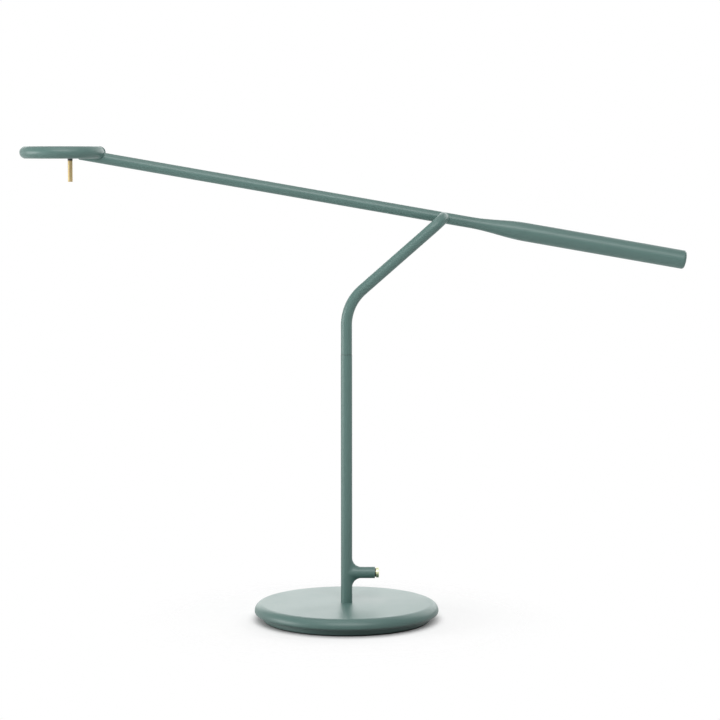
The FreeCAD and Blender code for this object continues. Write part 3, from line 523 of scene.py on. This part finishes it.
def makeBentTubeTree():
    # a round tube along a path whose two corners have their own bend radii
    tree, start, end = newGroup("bentTube", "GeometryNodeTree", [
        ("Geometry", "NodeSocketGeometry", None),
        ("Radius", "NodeSocketFloat", 0.0065),
        ("First Bend", "NodeSocketFloat", 0.06),
        ("Second Bend", "NodeSocketFloat", 0.02),
        ("Bend Steps", "NodeSocketInt", 28),
        ("Facets", "NodeSocketInt", 64),
        ("Finish", "NodeSocketMaterial", None),
    ], [("Geometry", "NodeSocketGeometry")])
    tree.is_modifier = True
    path = tree.nodes.new("GeometryNodeMeshToCurve")
    tree.links.new(start.outputs["Geometry"], path.inputs[0])
    betweenCorners = 1.5                      # points 1 and 2 of the path are its corners
    index = tree.nodes.new("GeometryNodeInputIndex").outputs[0]
    isFirst = maths(tree, "LESS_THAN", index, betweenCorners)
    isSecond = maths(tree, "GREATER_THAN", index, betweenCorners)
    bend = maths(tree, "ADD", maths(tree, "MULTIPLY", isFirst, start.outputs["First Bend"]),
                 maths(tree, "MULTIPLY", isSecond, start.outputs["Second Bend"]))
    fillet = addNode(tree, "GeometryNodeFilletCurve", mode="POLY")
    tree.links.new(path.outputs[0], fillet.inputs["Curve"])
    tree.links.new(bend, fillet.inputs["Radius"])
    tree.links.new(start.outputs["Bend Steps"], fillet.inputs["Count"])
    section = tree.nodes.new("GeometryNodeCurvePrimitiveCircle")
    tree.links.new(start.outputs["Facets"], section.inputs["Resolution"])
    tree.links.new(start.outputs["Radius"], section.inputs["Radius"])
    tube = tree.nodes.new("GeometryNodeCurveToMesh")
    tree.links.new(fillet.outputs[0], tube.inputs["Curve"])
    tree.links.new(section.outputs["Curve"], tube.inputs["Profile Curve"])
    endTree(tree, tube.outputs[0], start, end)
    return tree


def makeRingTree():
    # copies of a piece that stands on the Z axis, evenly round a circle
    tree, start, end = newGroup("ringOfPieces", "GeometryNodeTree", [
        ("Geometry", "NodeSocketGeometry", None),
        ("Count", "NodeSocketInt", 4),
        ("Radius", "NodeSocketFloat", 0.05),
        ("First Angle", "NodeSocketFloat", 0.0),
        ("Angle Spread", "NodeSocketFloat", 0.6),
        ("Seed", "NodeSocketInt", 7),
        ("Finish", "NodeSocketMaterial", None),
    ], [("Geometry", "NodeSocketGeometry")])
    tree.is_modifier = True
    circle = tree.nodes.new("GeometryNodeMeshCircle")
    tree.links.new(start.outputs["Count"], circle.inputs["Vertices"])
    tree.links.new(start.outputs["Radius"], circle.inputs["Radius"])
    around = tree.nodes.new("ShaderNodeCombineXYZ")
    tree.links.new(start.outputs["First Angle"], around.inputs["Z"])
    turned = tree.nodes.new("GeometryNodeTransform")
    tree.links.new(circle.outputs[0], turned.inputs["Geometry"])
    tree.links.new(around.outputs[0], turned.inputs["Rotation"])
    # each copy stops at its own angle, as a driven screw does
    chance = addNode(tree, "FunctionNodeRandomValue", data_type="FLOAT")
    tree.links.new(start.outputs["Angle Spread"], chance.inputs[3])      # the largest turn
    tree.links.new(start.outputs["Seed"], chance.inputs["Seed"])
    spin = tree.nodes.new("ShaderNodeCombineXYZ")
    tree.links.new(chance.outputs[1], spin.inputs["Z"])
    copies = tree.nodes.new("GeometryNodeInstanceOnPoints")
    tree.links.new(turned.outputs[0], copies.inputs["Points"])
    tree.links.new(start.outputs["Geometry"], copies.inputs["Instance"])
    tree.links.new(spin.outputs[0], copies.inputs["Rotation"])
    endTree(tree, copies.outputs[0], start, end)
    return tree


turnedTree = makeTurnedTree()
bentTubeTree = makeBentTubeTree()
ringTree = makeRingTree()
print("trees ready")


# shaping a piece

def addObject(name, data):
    thing = bpy.data.objects.new(name, data)
    bpy.context.scene.collection.objects.link(thing)
    return thing


def outlineObject(name, points):
    # open line of edges, which a tree turns into a form
    mesh = bpy.data.meshes.new(name)
    edges = [(i, i + 1) for i in range(len(points) - 1)]
    mesh.from_pydata([tuple(p) for p in points], edges, [])
    return addObject(name, mesh)


def setInputs(modifier, values):
    for item in modifier.node_group.interface.items_tree:
        if item.in_out == "INPUT" and item.name in values:
            modifier[item.identifier] = values[item.name]


def makeReal(piece):
    # the evaluated shape becomes the piece's own plain mesh
    live = piece.evaluated_get(bpy.context.evaluated_depsgraph_get())
    mesh = bpy.data.meshes.new_from_object(live)
    piece.modifiers.clear()
    piece.data = mesh


def finishMesh(piece, placement, finish):
    # puts the mesh in place, with its faces outwards, smooth but for its sharp edges
    mesh = piece.data
    mesh.transform(placement)
    shape = bmesh.new()
    shape.from_mesh(mesh)
    bmesh.ops.recalc_face_normals(shape, faces=shape.faces)
    shape.to_mesh(mesh)
    shape.free()
    mesh.shade_smooth()
    mesh.set_sharp_from_angle(angle=sharpAngle)
    mesh.materials.clear()
    mesh.materials.append(finish)


def fit(piece, body, nodes):
    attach(piece, body)
    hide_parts(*nodes)


def turnedPiece(name, outline, centre, axis, finish, facets):
    piece = outlineObject(name, [(p.x, 0, p.y) for p in outline])
    modifier = piece.modifiers.new("turned", "NODES")
    modifier.node_group = turnedTree
    setInputs(modifier, {"Facets": facets, "Finish": finish})
    makeReal(piece)
    placement = Matrix.Translation(centre) @ axisZ.rotation_difference(axis).to_matrix().to_4x4()
    finishMesh(piece, placement, finish)
    return piece


def cutAway(piece, cutter):
    finish = piece.data.materials[0]
    cut = piece.modifiers.new("cut", "BOOLEAN")
    cut.object = cutter
    cut.solver = "EXACT"
    makeReal(piece)
    bpy.data.objects.remove(cutter)
    finishMesh(piece, Matrix(), finish)


def boreOut(piece, start, end, radius, facets):
    # drills a round hole between two points
    length = (end - start).length
    finish = piece.data.materials[0]
    outline = [Vector((0, 0)), Vector((radius, 0)), Vector((radius, length)), Vector((0, length))]
    drill = turnedPiece("drill", outline, start, (end - start).normalized(), finish, facets)
    cutAway(piece, drill)


def slotOut(piece, start, reach, width, height):
    # cuts a straight slot from a point along reach, its width along Y
    across = axisY * width / 2
    up = reach.normalized().cross(axisY) * height / 2
    corners = [start + along + side * across + rise * up
               for along in (Vector(), reach) for side, rise in ((-1, -1), (1, -1), (1, 1), (-1, 1))]
    mesh = bpy.data.meshes.new("slot")
    sides = [(i, (i + 1) % 4, 4 + (i + 1) % 4, 4 + i) for i in range(4)]
    faces = [(0, 1, 2, 3), (4, 5, 6, 7)] + sides
    mesh.from_pydata([tuple(c) for c in corners], [], faces)
    slot = addObject("slot", mesh)
    finishMesh(slot, Matrix(), piece.data.materials[0])
    cutAway(piece, slot)


# base

baseDisc = {"upperRound": 9.8 * mm, "lowerRound": 3.1 * mm, "edgeSoftness": 0.3 * mm, "wall": 3 * mm,
            "rimWall": 15.3 * mm, "stemHole": 5 * mm, "arcStep": 5, "facets": 192}


def makeBase():
    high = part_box("base_disc")[1]
    radius = high.x
    lip = high.z - baseDisc["upperRound"] - baseDisc["lowerRound"]
    inner = radius - baseDisc["rimWall"]
    hole, soft = baseDisc["stemHole"], baseDisc["edgeSoftness"]
    ceiling = high.z - baseDisc["wall"]
    corners = [
        (hole, high.z, 0),
        (radius, high.z, baseDisc["upperRound"]),
        (radius, lip, baseDisc["lowerRound"]),
        (inner, lip, soft),
        (inner, ceiling, 0),
        (hole, ceiling, 0),
    ]
    outline = roundedOutline(corners, closed=True, arcStep=baseDisc["arcStep"])
    piece = turnedPiece("base_body", outline, origin, axisZ, finishes["sage_steel"], baseDisc["facets"])
    fit(piece, "base", ["base_disc"])
    return piece


footPad = {"edgeRound": 0.4 * mm, "grooves": (62 * mm, 72 * mm, 82 * mm, 92 * mm), "grooveWidth": 1.4 * mm,
           "grooveDepth": 0.45 * mm, "grooveRound": 0.15 * mm, "arcStep": 18, "facets": 160,
           "easing": 0.002 * mm}      # lifts the sole a hair off the floor, inside the solid


def makeFootPad():
    low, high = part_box("foot_pad")
    sole = low.z + footPad["easing"]
    bottom = sole + footPad["grooveDepth"]
    soft = footPad["grooveRound"]
    corners = [(0, sole, 0)]
    for middle in footPad["grooves"]:
        inner, outer = middle - footPad["grooveWidth"] / 2, middle + footPad["grooveWidth"] / 2
        corners += [(inner, sole, soft), (inner, bottom, 0), (outer, bottom, 0), (outer, sole, soft)]
    corners += [(high.x, sole, footPad["edgeRound"]), (high.x, high.z, footPad["edgeRound"]), (0, high.z, 0)]
    outline = roundedOutline(corners, arcStep=footPad["arcStep"])
    piece = turnedPiece("foot_rubber", outline, origin, axisZ, finishes["black_rubber"], footPad["facets"])
    fit(piece, "base", ["foot_pad"])
    return piece


panScrew = {"headRadius": 3.8 * mm, "head": 1.1 * mm, "shank": 1.55 * mm, "edgeRound": 0.3 * mm,
            "slotWidth": 0.9 * mm, "slotLength": 4.2 * mm, "slotDepth": 0.7 * mm, "facets": 36,
            "count": 4, "firstAngle": 45}


def makePanScrews():
    low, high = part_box("pan_screws")
    steel = finishes["bright_steel"]
    radius, shank, edgeRound = panScrew["headRadius"], panScrew["shank"], panScrew["edgeRound"]
    first = math.radians(panScrew["firstAngle"])
    ringRadius = (high.x - radius) / math.cos(first)
    top = low.z + panScrew["head"]
    corners = [(0, low.z, 0), (radius, low.z, edgeRound), (radius, top, 0), (shank, top, 0),
               (shank, high.z, edgeRound), (0, high.z, 0)]
    piece = turnedPiece("base_screws", roundedOutline(corners), origin, axisZ, steel, panScrew["facets"])
    # a cross slot in the head
    slotDepth, slotWidth, slotLength = panScrew["slotDepth"], panScrew["slotWidth"], panScrew["slotLength"]
    below = Vector((0, 0, low.z - slotDepth))
    for width, length in ((slotWidth, slotLength), (slotLength, slotWidth)):
        slotOut(piece, below, axisZ * slotDepth * 2, width, length)
    ring = piece.modifiers.new("ring", "NODES")
    ring.node_group = ringTree
    setInputs(ring, {"Count": panScrew["count"], "Radius": ringRadius, "First Angle": first, "Finish": steel})
    makeReal(piece)
    finishMesh(piece, Matrix(), steel)
    fit(piece, "base", ["pan_screws"])
    return piece


# stem

buttonCap = {"length": 3.4 * mm, "edgeRound": 0.55 * mm, "backRound": 0.15 * mm, "recess": 5.5 * mm,
             "recessDepth": 1.1 * mm, "neck": 4.6 * mm, "innerRound": 0.1 * mm, "plunger": 1.4 * mm,
             "plungerLength": 1.6 * mm, "facets": 72}


def makeButton():
    low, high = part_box("button")
    radius = (high.z - low.z) / 2
    centre = Vector((high.x, 0, (high.z + low.z) / 2))
    # heights run back from the face that is pressed
    length = high.x - low.x
    recess, neck, plunger = buttonCap["recess"], buttonCap["neck"], buttonCap["plunger"]
    back = -buttonCap["length"]
    recessFloor = buttonCap["recessDepth"] - buttonCap["length"]
    neckEnd = -length + buttonCap["plungerLength"]
    corners = [
        (0, 0, 0),
        (radius, 0, buttonCap["edgeRound"]),
        (radius, back, buttonCap["backRound"]),
        (recess, back, buttonCap["innerRound"]),
        (recess, recessFloor, 0),
        (neck, recessFloor, 0),
        (neck, neckEnd, buttonCap["innerRound"]),
        (plunger, neckEnd, 0),
        (plunger, -length, 0),
        (0, -length, 0),
    ]
    piece = turnedPiece("push_button", roundedOutline(corners), centre, axisX, finishes["button_brass"],
                        buttonCap["facets"])
    fit(piece, "button", ["button"])
    return piece


upperTube = {"wall": 1.95 * mm, "bendRadius": 56 * mm, "elbowRadius": 20 * mm, "bendCorner": 384.9 * mm,
             "facets": 72, "bendSteps": 30, "grubRadius": 1.5 * mm, "grubHeight": 18 * mm, "grubFacets": 32}


def makeUpperTube():
    low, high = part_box("upper_stem")
    radius = -low.x
    corners = [Vector((0, 0, low.z)), Vector((0, 0, upperTube["bendCorner"])), Vector((pivot.x, 0, pivot.z)),
               Vector((pivot.x, high.y, pivot.z))]
    piece = outlineObject("upper_tube", corners)
    modifier = piece.modifiers.new("tube", "NODES")
    modifier.node_group = bentTubeTree
    setInputs(modifier, {"Radius": radius, "First Bend": upperTube["bendRadius"],
                         "Second Bend": upperTube["elbowRadius"], "Bend Steps": upperTube["bendSteps"],
                         "Facets": upperTube["facets"], "Finish": finishes["sage_steel"]})
    wall = piece.modifiers.new("wall", "SOLIDIFY")
    wall.thickness = upperTube["wall"]
    wall.offset = -1
    wall.use_even_offset = True
    makeReal(piece)
    finishMesh(piece, Matrix(), finishes["sage_steel"])
    grub = Vector((0, 0, seam.z + upperTube["grubHeight"]))
    boreOut(piece, grub, grub + axisY * radius * 2, upperTube["grubRadius"], upperTube["grubFacets"])
    fit(piece, "upper_stem", ["upper_stem"])
    return piece


capNut = {"facets": 64, "dome": 1.2 * mm, "domeSteps": 8}


def makeCapNut():
    low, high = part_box("cap_nut")
    radius = (high.x - low.x) / 2
    outline = [Vector((0, 0)), Vector((radius, 0))]
    outline += domeOutline(radius, capNut["dome"], high.y - low.y, capNut["domeSteps"])
    centre = Vector(((high.x + low.x) / 2, low.y, (high.z + low.z) / 2))
    piece = turnedPiece("pivot_cap", outline, centre, axisY, finishes["sage_steel"], capNut["facets"])
    fit(piece, "upper_stem", ["cap_nut"])
    return piece


# arm

arm = {"radius": 6.8 * mm, "bore": 4.9 * mm, "taperStart": 32 * mm, "taperEnd": 104 * mm, "ease": 0.40,
       "taperSteps": 28, "handleRadius": 11.35 * mm, "handleBore": 9.95 * mm, "facets": 96,
       "crossBore": 4.5 * mm, "crossFacets": 48, "noseChamfer": 2.6 * mm, "frontRound": 0.55 * mm,
       "sideRound": 1.1 * mm, "noseWall": 2 * mm, "slotWidth": 6 * mm, "slotHeight": 6.6 * mm,
       "slotReach": 6 * mm}


def makeArm():
    tip, end = nodeSpan("arm_tube", armAxis)
    radius, bore = arm["radius"], arm["bore"]
    seat = tip + arm["noseWall"]
    outline = roundedOutline([
        (0, tip, 0),
        (radius - arm["noseChamfer"], tip, arm["frontRound"]),
        (radius, tip + arm["noseChamfer"], arm["sideRound"]),
        (radius, arm["taperStart"], 0),
    ])[:-1]
    outline += softTaper(radius, arm["taperStart"], arm["handleRadius"], arm["taperEnd"], arm["ease"],
                         arm["taperSteps"])
    outline += [Vector((arm["handleRadius"], end)), Vector((arm["handleBore"], end)),
                Vector((arm["handleBore"], arm["taperEnd"])), Vector((bore, arm["taperEnd"])),
                Vector((bore, seat)), Vector((0, seat))]
    piece = turnedPiece("arm_skin", outline, pivot, armAxis, finishes["sage_aluminium"], arm["facets"])
    across = axisY * radius * 2
    boreOut(piece, pivot - across, pivot + across, arm["crossBore"], arm["crossFacets"])
    slotStart = pivot + armAxis * (tip - arm["noseWall"])
    slotOut(piece, slotStart, armAxis * arm["slotReach"], arm["slotWidth"], arm["slotHeight"])
    fit(piece, "arm", ["arm_tube"])
    return piece


endCap = {"round": 3.4 * mm, "dome": 1.0 * mm, "spigot": 6 * mm, "roundSteps": 12,
          "domeSteps": 10, "easing": 0.01 * mm}      # easing keeps the dome inside the solid's box


def makeEndCap():
    low, high = nodeSpan("end_cap", armAxis)
    high -= endCap["easing"]
    outer, inner = arm["handleRadius"], arm["handleBore"]
    shoulder = endCap["round"]
    start = low + endCap["spigot"]
    face = high - endCap["dome"]
    flat = outer - shoulder
    outline = [Vector((0, low)), Vector((inner, low)), Vector((inner, start)), Vector((outer, start))]
    for i in range(endCap["roundSteps"] + 1):
        angle = math.pi / 2 * i / endCap["roundSteps"]
        height = face - shoulder + shoulder * math.sin(angle)
        outline.append(Vector((flat + shoulder * math.cos(angle), height)))
    outline += domeOutline(flat, endCap["dome"], high, endCap["domeSteps"])[1:]
    piece = turnedPiece("handle_cap", outline, pivot, armAxis, finishes["sage_aluminium"], arm["facets"])
    fit(piece, "arm", ["end_cap"])
    return piece


# head

grip = {"edgeRound": 0.4 * mm, "shoulderRound": 0.15 * mm, "stud": 1.48 * mm, "length": 25.5 * mm,
        "facets": 64}


def makeGrip():
    low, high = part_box("grip_pin")
    radius = (high.x - low.x) / 2
    centre = Vector(((high.x + low.x) / 2, (high.y + low.y) / 2, 0))
    shoulder = low.z + grip["length"]
    corners = [(0, low.z, 0), (radius, low.z, grip["edgeRound"]), (radius, shoulder, grip["shoulderRound"]),
               (grip["stud"], shoulder, 0), (grip["stud"], high.z, 0), (0, high.z, 0)]
    outline = roundedOutline(corners)
    piece = turnedPiece("brass_grip", outline, centre, axisZ, finishes["brass"], grip["facets"])
    fit(piece, "head", ["grip_pin"])
    return piece


for make in (makeBase, makeFootPad, makePanScrews, makeButton, makeUpperTube, makeCapNut, makeArm,
             makeEndCap, makeGrip):
    made = make()
    print("made", made.name, "with", len(made.data.polygons), "faces")


# studio

# sizes in metres; floorColour is what the camera sees, near and far bounce are what lights the object; the
# near bounce is painted dark round the base, painted shade on the foot and lower stem
studio = {"floorSize": 6.0, "floorColour": (0.56, 0.56, 0.56, 1), "floorLift": 0.52,
          "paintedShadeBounce": (0.08, 0.08, 0.08, 1), "farBounce": (0.95, 0.95, 0.95, 1),
          "fadeStart": 0.125, "fadeEnd": 0.27, "shadowReach": 0.014, "shadowSamples": 8,
          "footOpening": 0.096, "worldStrength": 0.05, "surroundings": 1.0, "white": (1, 1, 1, 1)}


def seenRays(tree):
    # camera, mirror and see-through rays meet the white surroundings
    rays = tree.nodes.new("ShaderNodeLightPath")
    seen = maths(tree, "MAXIMUM", rays.outputs["Is Camera Ray"], rays.outputs["Is Glossy Ray"])
    return maths(tree, "MAXIMUM", seen, rays.outputs["Is Transmission Ray"])


def mixShaders(tree, amount, first, second):
    mix = tree.nodes.new("ShaderNodeMixShader")
    tree.links.new(amount, mix.inputs["Fac"])
    tree.links.new(first, mix.inputs[1])
    tree.links.new(second, mix.inputs[2])
    return mix.outputs[0]


def makeFloor():
    half = studio["floorSize"] / 2
    mesh = bpy.data.meshes.new("floor")
    corners = [(-half, -half, 0), (half, -half, 0), (half, half, 0), (-half, half, 0)]
    mesh.from_pydata(corners, [], [(0, 1, 2, 3)])
    floor = addObject("floor", mesh)
    finish = bpy.data.materials.new("studioFloor")
    finish.use_nodes = True
    tree = finish.node_tree
    tree.nodes.clear()
    seen = seenRays(tree)
    places = tree.nodes.new("ShaderNodeTexCoord").outputs["Object"]
    away = addNode(tree, "ShaderNodeVectorMath", operation="LENGTH")
    tree.links.new(places, away.inputs[0])
    fade = spread(tree, away.outputs["Value"], studio["fadeStart"], studio["fadeEnd"])
    # the floor's bounce colour is painted dark near the base: painted shade that darkens the foot and lower
    # stem
    bounce = mixColours(tree, fade, studio["paintedShadeBounce"], studio["farBounce"])
    tint = mixColours(tree, seen, bounce, studio["floorColour"])
    matte = tree.nodes.new("ShaderNodeBsdfDiffuse")
    tree.links.new(tint, matte.inputs["Color"])
    # the white lift is dimmed by ambient occlusion near the base: a painted contact shadow round the foot
    shade = addNode(tree, "ShaderNodeAmbientOcclusion", {"Distance": studio["shadowReach"]},
                    samples=studio["shadowSamples"])
    lift = maths(tree, "MULTIPLY", maths(tree, "MULTIPLY", seen, shade.outputs["AO"]), studio["floorLift"])
    glow = addNode(tree, "ShaderNodeEmission", {"Color": studio["white"]})
    tree.links.new(lift, glow.inputs["Strength"])
    lit = tree.nodes.new("ShaderNodeAddShader")
    tree.links.new(matte.outputs[0], lit.inputs[0])
    tree.links.new(glow.outputs[0], lit.inputs[1])
    # the floor fades into the white surroundings; it is clear from below and under the foot
    clear = tree.nodes.new("ShaderNodeBsdfTransparent").outputs[0]
    faded = mixShaders(tree, maths(tree, "MULTIPLY", seen, fade), lit.outputs[0], clear)
    surface = tree.nodes.new("ShaderNodeNewGeometry")
    underFoot = maths(tree, "LESS_THAN", away.outputs["Value"], studio["footOpening"])
    hidden = maths(tree, "MAXIMUM", surface.outputs["Backfacing"], underFoot)
    output = tree.nodes.new("ShaderNodeOutputMaterial")
    tree.links.new(mixShaders(tree, hidden, faded, clear), output.inputs["Surface"])
    mesh.materials.append(finish)


def makeWorld():
    world = bpy.data.worlds.new("studio")
    world.use_nodes = True
    tree = world.node_tree
    tree.nodes.clear()
    strength = spread(tree, seenRays(tree), 0, 1, studio["worldStrength"], studio["surroundings"])
    background = addNode(tree, "ShaderNodeBackground", {"Color": studio["white"]})
    tree.links.new(strength, background.inputs["Strength"])
    output = tree.nodes.new("ShaderNodeOutputWorld")
    tree.links.new(background.outputs[0], output.inputs["Surface"])
    bpy.context.scene.world = world


# softboxes: place, point they face, width and height in metres, watts
lamps = {
    "leftSoftbox": {"place": (-2.4, -0.4, 0.45), "aim": (0, 0, 0.4), "size": (1.5, 0.88), "power": 29},
    "frontSoftbox": {"place": (0.1, -2.3, 2.3), "aim": (0, 0, 0.45), "size": (2.4, 0.9), "power": 55},
    "topSoftbox": {"place": (-0.3, -0.4, 2.6), "aim": (0, 0, 0.3), "size": (2.0, 2.0), "power": 16},
    "rearSoftbox": {"place": (0, 2.8, 0.9), "aim": (0, 0, 0.35), "size": (3.0, 1.6), "power": 27},
    "rightSoftbox": {"place": (2.0, 1.9, 1.6), "aim": (0, 0, 0.45), "size": (1.6, 2.2), "power": 23},
}


def makeLamps():
    for name, lamp in lamps.items():
        data = bpy.data.lights.new(name, "AREA")
        data.shape = "RECTANGLE"
        data.size, data.size_y = lamp["size"]
        data.energy = lamp["power"]
        light = addObject(name, data)
        light.location = lamp["place"]
        light.visible_camera = False
        facing = Vector(lamp["aim"]) - Vector(lamp["place"])
        light.rotation_euler = facing.to_track_quat("-Z", "Y").to_euler()


# place in metres, tilt in degrees, lens in millimetres
camera = {"place": (0.0163, -2.800, 0.5689), "tiltDown": 5.14, "lens": 116.65}


def makeCamera():
    data = bpy.data.cameras.new("photoView")
    data.lens = camera["lens"]
    view = addObject("photoView", data)
    view.location = camera["place"]
    view.rotation_euler = (math.radians(90 - camera["tiltDown"]), 0, 0)
    bpy.context.scene.camera = view


makeFloor()
makeWorld()
makeLamps()
makeCamera()
bpy.context.scene.view_settings.view_transform = "Standard"
print("studio ready")
